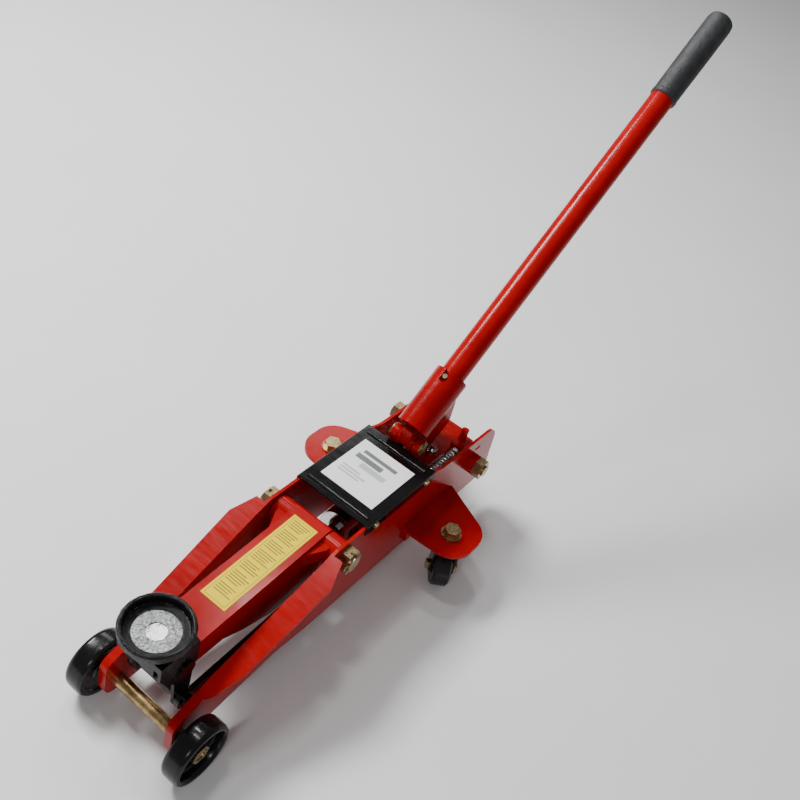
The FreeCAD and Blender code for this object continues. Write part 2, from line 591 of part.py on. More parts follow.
def make_saddle():
    """The levelling bracket on the arm's tip, the swivelling saddle and its centre pin."""
    back = "-saddle_back"
    low = "tip_high - link_drop"
    outline = [("-tip_back - 8", low + " - 9"), ("-tip_back + 8", low + " - 9"),
               ("-tip_back + 10", "tip_high - 12"), (back + " + 16", "tip_high + 8"),
               (back + " + 16", "119.2"), ("-tip_back - 13", "119.2"), ("-tip_back - 13", "tip_high + 2"),
               ("-tip_back - 9", "tip_high - 8")]
    head = plate("HeadPlate", outline, "2 * head_half", [("7.5", (0, 1)), ("4", (3,))])
    gaps = [box("HeadGap" + side.title(), ("-60", low_y, "30"), ("30", high_y, "112"))
            for side, low_y, high_y in (("left", "arm_half - arm_sheet - 0.5", "arm_half + 0.4"),
                                        ("right", "-arm_half - 0.4", "-arm_half + arm_sheet + 0.5"))]
    fork = box("HeadFork", ("-60", "-arm_half + 1", "30"), ("30", "arm_half - 1", "tip_high - 10"))
    seat = rod("HeadSeat", "17", "7.2", (back, "0", "112"))
    node(cut("Head", fuse("HeadBlank", cut("HeadWaist", head, fork, *gaps), seat),
             rod("HeadStemBore", "stem_radius + running", "40", (back, "0", "104")),
             rod("HeadTipBore", "tip_radius + running", "80", ("-tip_back", "-40", "tip_high"), "Y"),
             rod("HeadLinkBore", "link_radius + 0.01", "80", ("-tip_back", "-40", low), "Y")),
         "saddle_bracket")
    node(rod("LinkPin", "link_radius", "2 * (link_inner + link_thick + 2)",
             ("-tip_back", "-(link_inner + link_thick + 2)", low), "Y"), "link_tip_pin")
    rim = "saddle_radius"
    profile = [("stem_radius + 0.01", "0.4"), ("17", "0.4"), (rim + " - 4", "6.5"), (rim + " - 0.8", "9"),
               (rim, "11"), (rim, "17.5"), (rim + " - 1", "18.5"), ("cup_radius + 0.8", "18.5"),
               ("cup_radius", "17.6"), ("cup_radius", "10.2"), ("20", "9.4"), ("19", "8.4"),
               ("stem_radius + 0.01", "8.4")]
    node(turned("Saddle", profile, (back, "0", "saddle_top - 18.5")), "saddle")
    node(rod("SaddlePin", "stem_radius", "23.7", (back, "0", "104.3")), "saddle_centre_pin")


def make_links():
    """The two rods that keep the saddle level, and the studs that they turn on."""
    studs = []
    for side, sign in SIDES:
        key = "Link" + side.title()
        middle = "%d * (link_inner + link_thick / 2)" % sign
        near = ("-pivot_back", "pivot_high - link_drop")
        far = ("-tip_back", "tip_high - link_drop")
        bar = plate(key + "Bar", [(near[0], near[1] + " - 5"), (far[0], far[1] + " - 5"),
                                  (far[0], far[1] + " + 5"), (near[0], near[1] + " + 5")], "link_thick",
                    middle=middle)
        low = "link_inner" if sign > 0 else "-link_inner - link_thick"
        eyes = [rod("%sEye%d" % (key, step), "9", "link_thick", (x, low, z), "Y")
                for step, (x, z) in enumerate((near, far))]
        holes = [rod("%sHole%d" % (key, step), "link_radius + %s" % gap, "80", (x, "-40", z), "Y")
                 for step, ((x, z), gap) in enumerate(((near, "running"), (far, "0.4")))]
        node(cut(key, fuse(key + "Blank", bar, *eyes), *holes), "link_rod_" + side)
        start = "link_inner - 2" if sign > 0 else "-web_rear"
        studs.append(rod(key + "Stud", "link_radius", "web_rear - link_inner + 2", (near[0], start, near[1]),
                         "Y"))
    node(group("LinkStuds", *studs), "link_rod_studs")


def make_ram():
    """The ram with its piston, the slotted yoke that pushes the crank, and the spring's arm."""
    tail = "-block_front + 4"
    face = CRANK_X + " - 24"
    piston = rod("Piston", "bore_radius - running", "12", (tail, "0", "ram_high"), "X")
    shaft = rod("RamShaft", "ram_radius", "(%s) - (%s)" % (face, tail), (tail, "0", "ram_high"), "X")
    node(fuse("Ram", piston, shaft), "ram")
    block = box("YokeBlock", (face, "-12.5", "ram_high - 13"), (CRANK_X + " - 14", "12.5", "ram_high + 3.5"))
    cheeks = [box("YokeCheek" + side.title(), (CRANK_X + " - 14", low, "ram_high - 17"),
                  (CRANK_X + " + 13", high, "ram_high + 15"))
              for side, low, high in (("left", "7.5", "12.5"), ("right", "-12.5", "-7.5"))]
    slot = box("YokeSlot", (CRANK_X + " - 6.2", "-20", "ram_high - 9.5"),
               (CRANK_X + " + 6.2", "20", "ram_high + 10.5"))
    node(cut("Yoke", fuse("YokeBlank", block, *cheeks), slot), "ram_yoke")
    outline = [("-218", "58"), ("-218", "90"), ("-253", "90"), ("-253", "spring_high + 6"),
               ("-262", "spring_high + 6"), ("-262", "82"), ("-227", "82"), ("-227", "58")]
    arm = plate("SpringArm", outline, "3.5", [("3.5", (3, 4))], middle="14.25")
    hook = rod("SpringHook", "2.5", "spring_out - 10", ("-257.5", "14", "spring_high"), "Y")
    node(fuse("SpringArmSet", arm, hook), "spring_arm")
    sleeve = rod("SpringOut", "spring_radius", "114.5", ("-375.5", "spring_out", "spring_high"), "X")
    hollow = rod("SpringIn", "spring_radius - 2", "120", ("-378", "spring_out", "spring_high"), "X")
    node(cut("SpringCoil", sleeve, hollow), "return_spring")


def make_socket():
    """The handle socket with its knuckle and two cam cheeks, the cam roller and its pin."""
    lean = FreeCAD.Rotation(FreeCAD.Vector(0, 1, 0), -90 + sheet.handle_tilt)
    at = ("-handle_back", "0", "handle_high")
    length = "socket_low + socket_mouth"
    barrel = rod("SocketBarrel", "socket_outer", length, ("0", "0", "-socket_low"), where=put)
    bore = rod("SocketBore", "socket_inner", length, ("0", "0", "-socket_low + 4"), where=put)
    notch = box("SocketNotch", ("5", "-3.5", "socket_mouth - 13"), ("30", "3.5", "socket_mouth + 5"), put)
    hollow = fuse("SocketHollow", bore, notch)
    place(barrel, at, lean)
    barrel.setExpression("Placement.Base.x",
                         rule("axle_ahead - handle_back + socket_low * cos(handle_tilt)"))
    barrel.setExpression("Placement.Base.z", rule("handle_high - socket_low * sin(handle_tilt)"))
    place(hollow, at, lean)
    cheek = [("-hinge_back + 8", "hinge_high - 7"), ("-hinge_back + 8", "hinge_high + 9"),
             ("-hinge_back - 10", "hinge_high + 12"), ("-handle_back - 8", "hinge_high + 30"),
             ("-handle_back - 20", "hinge_high + 24"), ("-handle_back - 21", "hinge_high - 8"),
             ("-plunger_back - 7", "roller_high - 5"), ("-plunger_back + 6", "roller_high - 5")]
    cheeks = [plate("SocketCheek" + side.title(), cheek, "4", [("7", (0, 1)), ("12", (4, 5)), ("5", (6, 7))],
                    middle="%d * 7" % sign) for side, sign in SIDES]
    knuckle = [("-hinge_back + 8", "hinge_high - 7"), ("-hinge_back + 8", "hinge_high + 16"),
               ("-hinge_back - 12", "hinge_high + 12"), ("-hinge_back - 9", "hinge_high - 7")]
    web = plate("SocketKnuckle", knuckle, "12", [("7", (0, 3))])
    blank = cut("SocketHollowed", fuse("SocketBlank", barrel, web, *cheeks), hollow)
    socket = cut("Socket", blank,
                 rod("SocketHinge", "5 + running", "60", ("-hinge_back", "-30", "hinge_high"), "Y"),
                 rod("SocketRollerHole", "3.01", "60", ("-plunger_back", "-30", "roller_high"), "Y"),
                 box("SocketSlot", ("-372", "-20", "135"), ("-366", "20", "139")))
    node(socket, "handle_socket")
    node(cut("Roller", rod("RollerOut", "roller_radius", "9", ("-plunger_back", "-4.5", "roller_high"), "Y"),
             rod("RollerIn", "3.01", "20", ("-plunger_back", "-10", "roller_high"), "Y")), "cam_roller")
    node(rod("RollerPin", "3", "18", ("-plunger_back", "-9", "roller_high"), "Y"), "cam_roller_pin")


def make_pump():
    """The plunger with its return spring, and the release valve beside it."""
    profile = [("0", "0"), ("plunger_radius", "0"), ("plunger_radius", "48.5"), ("8.5", "48.5"),
               ("8.5", "51.5"), ("4.6", "51.5"), ("4.6", "59"), ("4.1", "59.5"), ("0", "59.5")]
    node(turned("Plunger", profile, ("-plunger_back", "0", "46")), "pump_plunger")
    node(cut("PlungerSpring", rod("PlungerSpringOut", "9", "16.1", ("-plunger_back", "0", "78.2")),
             rod("PlungerSpringIn", "7", "18", ("-plunger_back", "0", "77"))), "plunger_spring")
    at = ("-plunger_back + 3", "16.7", "block_top - 18")
    stem = turned("ValveStem", [("0", "0"), ("4", "0"), ("4", "24.5"), ("5.2", "24.5"), ("5.2", "26.5"),
                                ("3.2", "26.5"), ("3.2", "31"), ("0", "31")], at)
    node(stem, "release_valve")


def make_handle():
    """The handle tube with its locking peg, and the rubber grip."""
    lean = FreeCAD.Rotation(FreeCAD.Vector(0, 1, 0), -90 + sheet.handle_tilt)
    at = ("-handle_back", "0", "handle_high")
    low = "-socket_low + 4.5"
    tube = cut("HandleTube", rod("HandleOut", "tube_radius", "grip_end - 6 - (%s)" % low, ("0", "0", low),
                                 where=put),
               rod("HandleIn", "tube_radius - tube_wall", "grip_end + 90", ("0", "0", "-80"), where=put))
    peg = rod("HandlePeg", "2.4", "5", ("tube_radius - 0.5", "0", "6"), "X", put)
    place(tube, at, lean)
    node(tube, "handle_tube")
    holder = group("HandlePegSet", cut("HandlePegCut", peg, rod("HandlePegSeat", "tube_radius", "40",
                                                                ("0", "0", "-10"), where=put)))
    place(holder, at, lean)
    node(holder, "handle_locking_peg")
    profile = [("tube_radius", "grip_start"), ("grip_radius - 0.6", "grip_start"),
               ("grip_radius - 0.6", "grip_start + 9"), ("grip_radius", "grip_start + 10"),
               ("grip_radius", "grip_end - 4"), ("grip_radius - 3", "grip_end"), ("0", "grip_end"),
               ("0", "grip_end - 4"), ("tube_radius", "grip_end - 4")]
    node(turned("Grip", profile, at, lean), "handle_grip")


def write_parts():
    """Check every object and every sub-part, then write one STEP file for each sub-part."""
    doc.recompute()
    for item in doc.Objects:
        if "Invalid" in item.State or "Error" in item.State:
            raise RuntimeError("%s failed: %s" % (item.Name, item.State))
    for item in nodes:
        if item.Shape.isNull() or not item.Shape.isValid():
            raise RuntimeError("%s has no valid shape" % item.Label)
    os.makedirs("parts", exist_ok=True)
    for item in nodes:
        item.Shape.exportStep("parts/%s.step" % item.Label)
    print("%d sub-parts written" % len(nodes))


for side_name, side_sign in SIDES:
    make_side_plate(side_name, side_sign)
    make_front_wheel(side_name, side_sign)
    make_caster(side_name, side_sign)
make_front_axle()
make_arm_pivot()
make_cover()
make_pump_block()
make_hydraulics()
make_rear_bolt()
make_lift_arm()
make_saddle()
make_links()
make_ram()
make_socket()
make_pump()
make_handle()
write_parts()
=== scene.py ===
import json
import math

import bmesh
import bpy
from mathutils import Matrix, Vector, noise


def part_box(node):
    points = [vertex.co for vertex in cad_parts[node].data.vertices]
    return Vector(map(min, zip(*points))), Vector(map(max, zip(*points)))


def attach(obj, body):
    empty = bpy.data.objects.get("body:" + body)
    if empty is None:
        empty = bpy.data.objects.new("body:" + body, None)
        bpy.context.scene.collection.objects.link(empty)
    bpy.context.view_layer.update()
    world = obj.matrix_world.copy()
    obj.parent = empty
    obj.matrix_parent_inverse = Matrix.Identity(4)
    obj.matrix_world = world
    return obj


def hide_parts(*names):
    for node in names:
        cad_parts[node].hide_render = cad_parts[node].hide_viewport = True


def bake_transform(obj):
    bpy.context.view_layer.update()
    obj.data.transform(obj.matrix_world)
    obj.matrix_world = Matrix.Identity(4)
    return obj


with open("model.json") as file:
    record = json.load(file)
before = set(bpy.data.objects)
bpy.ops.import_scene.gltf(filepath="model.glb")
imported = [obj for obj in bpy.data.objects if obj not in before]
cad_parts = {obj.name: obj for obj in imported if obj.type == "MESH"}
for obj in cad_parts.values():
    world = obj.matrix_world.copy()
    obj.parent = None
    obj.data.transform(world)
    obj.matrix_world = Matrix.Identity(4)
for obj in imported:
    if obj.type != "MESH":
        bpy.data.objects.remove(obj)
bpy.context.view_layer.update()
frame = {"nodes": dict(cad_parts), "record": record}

MM = 0.001
NODES = frame["nodes"]
BODIES = frame["record"]["behaviour"]["bodies"]
BODY_OF = {node: body for body, nodes in BODIES.items() for node in nodes}


# Places that the CAD gives.

def middle(node):
    """Centre of a CAD node's box."""
    low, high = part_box(node)
    return Vector([(a + b) / 2 for a, b in zip(low, high)])


def span(node):
    """Size of a CAD node's box."""
    low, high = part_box(node)
    return Vector([b - a for a, b in zip(low, high)])


AXLE = middle("front_axle")
# The handle's tilt from level at rest, as the CAD has it.
HANDLE_SLOPE = math.radians(38.9)
HANDLE_ALONG = Vector((-math.cos(HANDLE_SLOPE), 0, math.sin(HANDLE_SLOPE)))


# Materials.

# A Mix node's colour sockets go by number, because its other kinds use the same names.
MIX_COLOURS = (6, 7)
MIX_RESULT = 2
# How far a face's normal agrees with its rounded one, at an edge and away from edges.
DOT_AT_EDGE = 0.72
DOT_ON_FACE = 0.995


class Shader:
    """A Principled material with the nodes that its finish needs."""

    def __init__(self, name):
        self.material = bpy.data.materials.new(name)
        self.material.use_nodes = True
        self.tree = self.material.node_tree
        self.main = self.tree.nodes["Principled BSDF"]
        self.place = self.node("ShaderNodeTexCoord").outputs["Object"]

    def node(self, kind, **values):
        """A new node with some of its settings."""
        item = self.tree.nodes.new(kind)
        for key, value in values.items():
            setattr(item, key, value)
        return item

    def link(self, source, target):
        self.tree.links.new(source, target)

    def stretched(self, scale):
        """A point's place on its object, scaled per axis."""
        item = self.node("ShaderNodeMapping")
        item.inputs["Scale"].default_value = scale
        self.link(self.place, item.inputs["Vector"])
        return item.outputs["Vector"]

    def noise(self, scale, detail=4, rough=0.5, place=None):
        """Cloudy noise; scale counts its waves in a metre."""
        item = self.node("ShaderNodeTexNoise")
        item.inputs["Scale"].default_value = scale
        item.inputs["Detail"].default_value = detail
        item.inputs["Roughness"].default_value = rough
        self.link(place or self.place, item.inputs["Vector"])
        return item.outputs["Fac"]

    def cells(self, scale):
        """Distance from the middle of each of many small cells."""
        item = self.node("ShaderNodeTexVoronoi")
        item.inputs["Scale"].default_value = scale
        self.link(self.place, item.inputs["Vector"])
        return item.outputs["Distance"]

    def ramp(self, value, low, high, dark=0.0, light=1.0):
        """value from low to high, mapped onto dark to light and clamped."""
        item = self.node("ShaderNodeMapRange")
        for key, number in zip(("From Min", "From Max", "To Min", "To Max"), (low, high, dark, light)):
            item.inputs[key].default_value = number
        self.link(value, item.inputs["Value"])
        return item.outputs["Result"]

    def combine(self, operation, first, second):
        """Two values put together by a Math node."""
        item = self.node("ShaderNodeMath", operation=operation)
        self.link(first, item.inputs[0])
        self.link(second, item.inputs[1])
        return item.outputs["Value"]

    def times(self, first, second):
        """The product of two values."""
        return self.combine("MULTIPLY", first, second)

    def most(self, first, second):
        """The larger of two values."""
        return self.combine("MAXIMUM", first, second)

    def blend(self, factor, first, second):
        """A colour between two others; each is a colour or another node's output."""
        item = self.node("ShaderNodeMix", data_type="RGBA")
        self.link(factor, item.inputs["Factor"])
        for key, colour in zip(MIX_COLOURS, (first, second)):
            if isinstance(colour, tuple):
                item.inputs[key].default_value = (*colour, 1)
            else:
                self.link(colour, item.inputs[key])
        return item.outputs[MIX_RESULT]

    def edges(self, radius):
        """1 on convex and concave edges and 0 on flat faces."""
        bevel = self.node("ShaderNodeBevel", samples=4)
        bevel.inputs["Radius"].default_value = radius
        plain = self.node("ShaderNodeNewGeometry")
        dot = self.node("ShaderNodeVectorMath", operation="DOT_PRODUCT")
        self.link(bevel.outputs["Normal"], dot.inputs[0])
        self.link(plain.outputs["Normal"], dot.inputs[1])
        return self.ramp(dot.outputs["Value"], DOT_AT_EDGE, DOT_ON_FACE, dark=1.0, light=0.0)

    def bumps(self, *layers):
        """Bump layers, each of (height, strength, distance in metres)."""
        before = None
        for height, strength, distance in layers:
            item = self.node("ShaderNodeBump")
            item.inputs["Strength"].default_value = strength
            item.inputs["Distance"].default_value = distance
            self.link(height, item.inputs["Height"])
            if before:
                self.link(before, item.inputs["Normal"])
            before = item.outputs["Normal"]
        self.link(before, self.main.inputs["Normal"])

    def paint(self, colour, rough):
        """Drive the main shader's colour and roughness from other nodes."""
        self.link(colour, self.main.inputs["Base Color"])
        self.link(rough, self.main.inputs["Roughness"])

    def gloss(self, **values):
        """Plain numbers for the main shader's inputs, with _ for each space in a name."""
        for key, value in values.items():
            self.main.inputs[key.replace("_", " ")].default_value = value


def enamel(name, light, dark, rough, chips, chip_colour, cast=0.0, shine=0.16):
    """Sprayed paint: orange peel, slow change of shade, and chips along the edges."""
    item = Shader(name)
    clouds = item.noise(scale=26, detail=6, rough=0.6)
    shade = item.blend(item.ramp(clouds, low=0.3, high=0.7), dark, light)
    flakes = item.ramp(item.noise(scale=330, detail=4, rough=0.65), low=0.62 - chips, high=0.70 - chips)
    # Chips along the edges; on the saddle their bright grey is partly real wear and partly painted
    # highlight.
    chip_mask = item.times(item.edges(1.1 * MM), flakes)
    colour = item.blend(chip_mask, shade, chip_colour)
    scratch = item.noise(scale=210, detail=3, rough=0.7, place=item.stretched((1.0, 0.12, 0.25)))
    base = item.ramp(scratch, low=0.35, high=0.75, dark=rough * 0.75, light=rough * 1.5)
    chipped = item.ramp(chip_mask, low=0, high=1, dark=0, light=0.42)
    item.paint(colour, item.most(base, chipped))
    orange_peel = item.noise(scale=620, detail=2)
    waves = item.noise(scale=75, detail=3)
    layers = [(orange_peel, 0.05, 0.4 * MM), (waves, 0.10, 1.2 * MM)]
    if cast:
        sand = item.noise(scale=420, detail=6, rough=0.7)
        layers.append((sand, cast, 1.0 * MM))
    item.bumps(*layers)
    item.gloss(Coat_Weight=shine / 4, Coat_Roughness=0.05, Specular_IOR_Level=shine)
    return item.material


def plated(name, bright, dull, rough, tint=None, brushed=(1, 1, 1)):
    """Bare or plated steel with fine turning marks and a clouded passivation."""
    item = Shader(name)
    cloud = item.ramp(item.noise(scale=95, detail=5, rough=0.6), low=0.35, high=0.68)
    colour = item.blend(cloud, dull, bright)
    if tint:
        stains = item.ramp(item.noise(scale=160), low=0.48, high=0.72, dark=0, light=0.75)
        colour = item.blend(stains, colour, tint)
    grime = item.times(item.edges(0.9 * MM), item.ramp(item.noise(scale=240), low=0.45, high=0.7))
    grime_brown = (0.10, 0.075, 0.05)
    colour = item.blend(grime, colour, grime_brown)
    marks = item.noise(scale=900, detail=3, rough=0.6, place=item.stretched(brushed))
    item.paint(colour, item.ramp(marks, low=0.3, high=0.75, dark=rough * 0.7, light=rough * 1.5))
    dents = item.noise(scale=260, detail=3)
    item.bumps((marks, 0.18, 0.12 * MM), (dents, 0.12, 0.3 * MM))
    item.gloss(Metallic=1.0)
    return item.material


def foam(name):
    """The grip's fine-grained rubber, rubbed a little lighter in places."""
    item = Shader(name)
    grain = item.cells(1150)
    rubbed = item.ramp(item.noise(scale=70, detail=5, rough=0.65), low=0.45, high=0.8)
    colour = item.blend(rubbed, (0.020, 0.021, 0.023), (0.050, 0.052, 0.055))
    item.paint(colour, item.ramp(grain, low=0.1, high=0.9, dark=0.62, light=0.42))
    pits = item.noise(scale=420, rough=0.7)
    item.bumps((grain, 0.55, 0.5 * MM), (pits, 0.35, 0.6 * MM))
    item.gloss(Specular_IOR_Level=0.45)
    return item.material


def moulded(name, plain, dusty, rough):
    """Glossy black wheels with moulding streaks and patches of dust."""
    item = Shader(name)
    dust = item.ramp(item.noise(scale=55, detail=6, rough=0.65), low=0.55, high=0.9, dark=0, light=0.7)
    colour = item.blend(dust, plain, dusty)
    streaks = item.noise(scale=300, detail=3, rough=0.6, place=item.stretched((0.3, 2.0, 0.3)))
    item.paint(colour, item.ramp(streaks, low=0.3, high=0.7, dark=rough * 0.7, light=rough * 1.6))
    grain = item.noise(scale=700, detail=3)
    item.bumps((streaks, 0.10, 0.3 * MM), (grain, 0.12, 0.2 * MM))
    item.gloss(Coat_Weight=0.12, Coat_Roughness=0.12, Specular_IOR_Level=0.25)
    return item.material


def glint_speckled(name):
    """The inner disc of the saddle: black casting with grey flecks painted in as glints of light off its
    rough glossy paint.
    """
    item = Shader(name)
    grain = item.noise(scale=520, detail=5, rough=0.75)
    painted_glints = item.ramp(grain, low=0.40, high=0.56)
    patches = item.ramp(item.noise(scale=150, rough=0.6), low=0.35, high=0.7, dark=0.35, light=1.0)
    # The grey flecks are painted glints of reflected light, not bare metal.
    colour = item.blend(item.times(painted_glints, patches), (0.03, 0.03, 0.032), (0.62, 0.63, 0.64))
    item.paint(colour, item.ramp(painted_glints, low=0, high=1, dark=0.30, light=0.50))
    item.bumps((grain, 0.6, 0.6 * MM))
    item.gloss(Metallic=0.3)
    return item.material


def sticker(name, ground, stain):
    """A glossy printed film, a little scuffed."""
    item = Shader(name)
    soiled = item.ramp(item.noise(scale=60, detail=5, rough=0.6), low=0.5, high=0.85, dark=0, light=0.5)
    scuffs = item.ramp(item.noise(scale=180), low=0.35, high=0.7, dark=0.26, light=0.42)
    item.paint(item.blend(soiled, ground, stain), scuffs)
    bubbles = item.noise(scale=60, detail=2)
    grain = item.noise(scale=900, detail=2)
    item.bumps((bubbles, 0.12, 0.8 * MM), (grain, 0.04, 0.2 * MM))
    item.gloss(Specular_IOR_Level=0.15)
    return item.material


RED = enamel("red_enamel", (0.43, 0.0010, 0.0020), (0.31, 0.0008, 0.0015), rough=0.19, chips=0.02,
             chip_colour=(0.22, 0.01, 0.008))
RED_CAST = enamel("red_cast_enamel", (0.39, 0.0010, 0.0020), (0.26, 0.0008, 0.0015), rough=0.22,
                  chips=0.03, chip_colour=(0.20, 0.01, 0.008), cast=0.16)
BLACK = enamel("black_enamel", (0.004, 0.004, 0.0045), (0.002, 0.002, 0.0025), rough=0.14, chips=0.03,
               chip_colour=(0.12, 0.11, 0.10), shine=0.3)
BLACK_CAST = enamel("black_cast", (0.006, 0.006, 0.0065), (0.003, 0.003, 0.0035), rough=0.20,
                    chips=0.05, chip_colour=(0.50, 0.50, 0.51), cast=0.40)
ZINC = plated("yellow_zinc", (0.56, 0.45, 0.25), (0.27, 0.20, 0.11), rough=0.28, tint=(0.42, 0.26, 0.08))
BROWN_ZINC = plated("brown_zinc", (0.52, 0.36, 0.16), (0.22, 0.13, 0.06), rough=0.32,
                    tint=(0.60, 0.45, 0.20), brushed=(0.3, 0.06, 0.3))
# The saddle's bright grey chips are partly real wear at the rim and partly painted highlight for its
# glints.
SADDLE_CHIPS_AND_GLINTS = enamel("saddle_paint_chips_and_glints", (0.004, 0.004, 0.0045), (0.002, 0.002, 0.0025), rough=0.10,
                      chips=0.13, chip_colour=(0.78, 0.78, 0.79), cast=1.0, shine=0.22)
STEEL = plated("ground_steel", (0.74, 0.74, 0.75), (0.52, 0.52, 0.53), rough=0.18)
SPRING = plated("spring_wire", (0.88, 0.89, 0.90), (0.66, 0.66, 0.67), rough=0.22)
RUBBER = foam("grip_foam")
WHEEL = moulded("wheel_black", (0.005, 0.005, 0.0055), (0.022, 0.020, 0.018), rough=0.20)
CASTER = moulded("caster_black", (0.012, 0.012, 0.013), (0.06, 0.055, 0.05), rough=0.34)
GLINT_DISC = glint_speckled("saddle_disc_painted_glints")
WHITE_FILM = sticker("white_film", (0.90, 0.93, 0.90), (0.80, 0.84, 0.81))
YELLOW_FILM = sticker("yellow_film", (0.92, 0.68, 0.0), (0.84, 0.58, 0.0))
GREY_INK = sticker("grey_ink", (0.16, 0.18, 0.17), (0.26, 0.28, 0.27))
PALE_INK = sticker("pale_ink", (0.50, 0.53, 0.51), (0.58, 0.60, 0.58))
BROWN_INK = sticker("brown_ink", (0.16, 0.11, 0.03), (0.30, 0.22, 0.04))

LOOK = {
    "red_paint": RED, "black_paint": BLACK, "black_cast": BLACK_CAST, "zinc": ZINC, "chrome": STEEL,
    "spring_steel": SPRING, "grip_rubber": RUBBER, "wheel_black": WHEEL, "label_white": WHITE_FILM,
    "label_yellow": YELLOW_FILM,
}
LOOK_BY_NODE = {
    "front_axle": BROWN_ZINC, "pump_block": RED_CAST, "handle_socket": RED_CAST, "ram_yoke": RED_CAST,
    "caster_wheel_left": CASTER, "caster_wheel_right": CASTER,
}

# Faces that meet at more than these many degrees keep a sharp edge between them.
CAD_SHARP = 32
BUILT_SHARP = 35
# Edges broken on the CAD nodes: on most, on those thinner than THIN, and on the pressed brackets.
BROKEN_EDGE = 0.5 * MM
THIN = 6 * MM
THIN_BROKEN_EDGE = 0.25 * MM
PRESSED_EDGE = 2.2 * MM


def finish_cad_nodes():
    """Give each CAD node its material, smooth shading and a small broken edge."""
    for entry in frame["record"]["subparts"]:
        node = NODES[entry["node"]]
        look = LOOK_BY_NODE.get(entry["node"], LOOK[entry["material_slot"]])
        node.data.materials.clear()
        node.data.materials.append(look)
        node.data.shade_smooth()
        node.data.set_sharp_from_angle(angle=math.radians(CAD_SHARP))
        if entry["node"].startswith("caster_bracket"):
            round_edges(node, PRESSED_EDGE, segments=4, angle=60)
        elif min(span(entry["node"])) > THIN:
            round_edges(node, BROKEN_EDGE)
        else:
            round_edges(node, THIN_BROKEN_EDGE)


def round_edges(piece, width, segments=2, angle=38):
    """A bevel on the edges whose faces meet at more than angle degrees."""
    bevel = piece.modifiers.new("Edges", "BEVEL")
    bevel.width = width
    bevel.segments = segments
    bevel.limit_method = "ANGLE"
    bevel.angle_limit = math.radians(angle)
    bevel.use_clamp_overlap = True
    bevel.harden_normals = True


# Mesh building.

# Points closer than this are one point.
SEAM = 1e-7


def piece_from(name, mesh_data, material, body, replaced=()):
    """A new object from a bmesh, riding on a body (or on none)."""
    mesh = bpy.data.meshes.new(name)
    mesh_data.normal_update()
    mesh_data.to_mesh(mesh)
    mesh_data.free()
    mesh.shade_smooth()
    mesh.set_sharp_from_angle(angle=math.radians(BUILT_SHARP))
    piece = bpy.data.objects.new(name, mesh)
    bpy.context.scene.collection.objects.link(piece)
    mesh.materials.append(material)
    if body:
        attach(piece, body)
    if replaced:
        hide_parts(*replaced)
    return piece


def lathe(profile, centre, axis, steps=96, rough=None):
    """A closed profile of (radius, height) turned about an axis through centre.

    rough(angle, radius, height) gives a small outward shift, for castings."""
    turn = Vector(axis).to_track_quat("Z", "Y").to_matrix()
    built = bmesh.new()
    rings = []
    for radius, height in profile:
        if radius < SEAM:
            rings.append([built.verts.new(Vector(centre) + turn @ Vector((0, 0, height)))])
            continue
        ring = []
        for step in range(steps):
            angle = 2 * math.pi * step / steps
            shift = rough(angle, radius, height) if rough else 0.0
            spot = Vector((math.cos(angle), math.sin(angle), 0)) * (radius + shift)
            ring.append(built.verts.new(Vector(centre) + turn @ (spot + Vector((0, 0, height)))))
        rings.append(ring)
    for low, high in zip(rings, rings[1:]):
        if len(low) == 1 and len(high) == 1:
            continue
        for step in range(steps):
            after = (step + 1) % steps
            if len(low) == 1:
                built.faces.new((low[0], high[step], high[after]))
            elif len(high) == 1:
                built.faces.new((low[step], low[after], high[0]))
            else:
                built.faces.new((low[step], low[after], high[after], high[step]))
    bmesh.ops.remove_doubles(built, verts=built.verts, dist=SEAM)
    bmesh.ops.recalc_face_normals(built, faces=built.faces)
    return built


# A rounded corner takes at most this share of the side that leads to it.
MOST_OF_A_SIDE = 0.45


def rounded(corners, radius, steps=5):
    """A line through (radius, height) corners, all but its two ends rounded."""
    points = [Vector(corners[0])]
    for before, corner, after in zip(corners, corners[1:], corners[2:]):
        before, corner, after = Vector(before), Vector(corner), Vector(after)
        into = before - corner
        out = after - corner
        reach = min(radius, into.length * MOST_OF_A_SIDE, out.length * MOST_OF_A_SIDE)
        start = corner + into.normalized() * reach
        end = corner + out.normalized() * reach
        for step in range(steps + 1):
            share = step / steps
            points.append(start * (1 - share) ** 2 + corner * 2 * share * (1 - share) + end * share ** 2)
    points.append(Vector(corners[-1]))
    return [(point.x, point.y) for point in points]


def around(across, other, angle):
    """The direction at an angle from across, on the way to other."""
    return across * math.cos(angle) + other * math.sin(angle)


WIRE_SIDES = 10


def tube_along(points, radius):
    """A round wire with flat ends along a list of points."""
    built = bmesh.new()
    rings = []
    across = (points[1] - points[0]).orthogonal().normalized()
    for index, point in enumerate(points):
        ahead = points[min(index + 1, len(points) - 1)] - points[max(index - 1, 0)]
        tangent = ahead.normalized()
        across = (across - tangent * across.dot(tangent)).normalized()
        other = tangent.cross(across)
        ring = []
        for step in range(WIRE_SIDES):
            sideways = around(across, other, 2 * math.pi * step / WIRE_SIDES)
            ring.append(built.verts.new(point + sideways * radius))
        rings.append(ring)
    for low, high in zip(rings, rings[1:]):
        for step in range(WIRE_SIDES):
            after = (step + 1) % WIRE_SIDES
            built.faces.new((low[step], low[after], high[after], high[step]))
    built.faces.new(list(reversed(rings[0])))
    built.faces.new(rings[-1])
    bmesh.ops.recalc_face_normals(built, faces=built.faces)
    return built


POINTS_IN_A_TURN = 28


